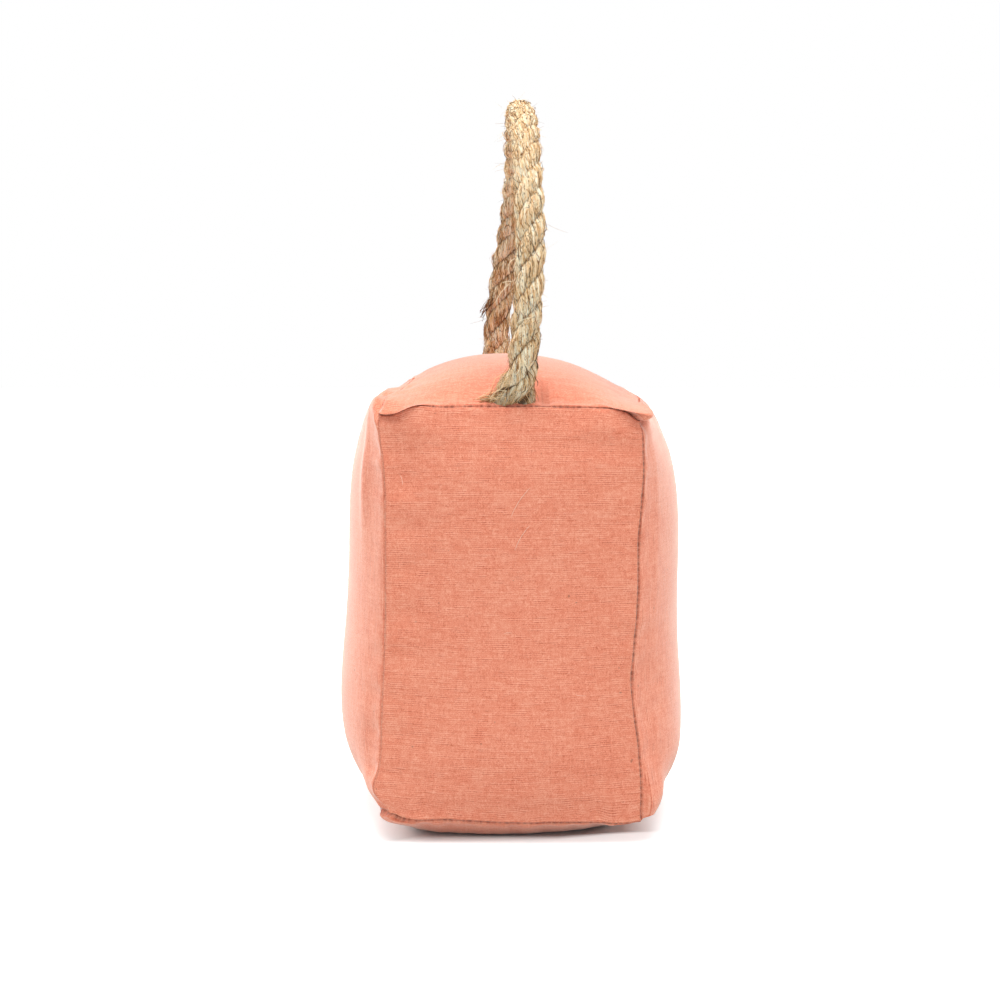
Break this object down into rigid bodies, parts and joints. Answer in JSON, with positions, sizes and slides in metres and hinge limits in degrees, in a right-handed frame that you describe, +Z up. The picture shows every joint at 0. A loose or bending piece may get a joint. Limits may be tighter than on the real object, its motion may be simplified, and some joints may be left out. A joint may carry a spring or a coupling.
{
  "type": "weighted fabric door stop",
  "caption": "Box-shaped stuffed canvas door stop with sewn seams, a domed top, a floor-flattened base and a standing jute rope carrying handle.",
  "frame": {"origin": "on the floor plane, in the middle of the bag's footprint", "axes": "+Z up, -Y towards the front panel seen in the picture, +X to the right as seen from the front; the rope handle arches from front to back along Y"},
  "size_m": [0.155, 0.157, 0.3179],
  "materials": {
    "canvas": "matt plain-weave cotton, washed coral pink",
    "jute": "hairy natural fibre, laid from twisted yarns"
  },
  "bodies": {
    "root": {"stuffed_bag": "canvas", "rope_handle": "jute"}
  },
  "joints": []
}
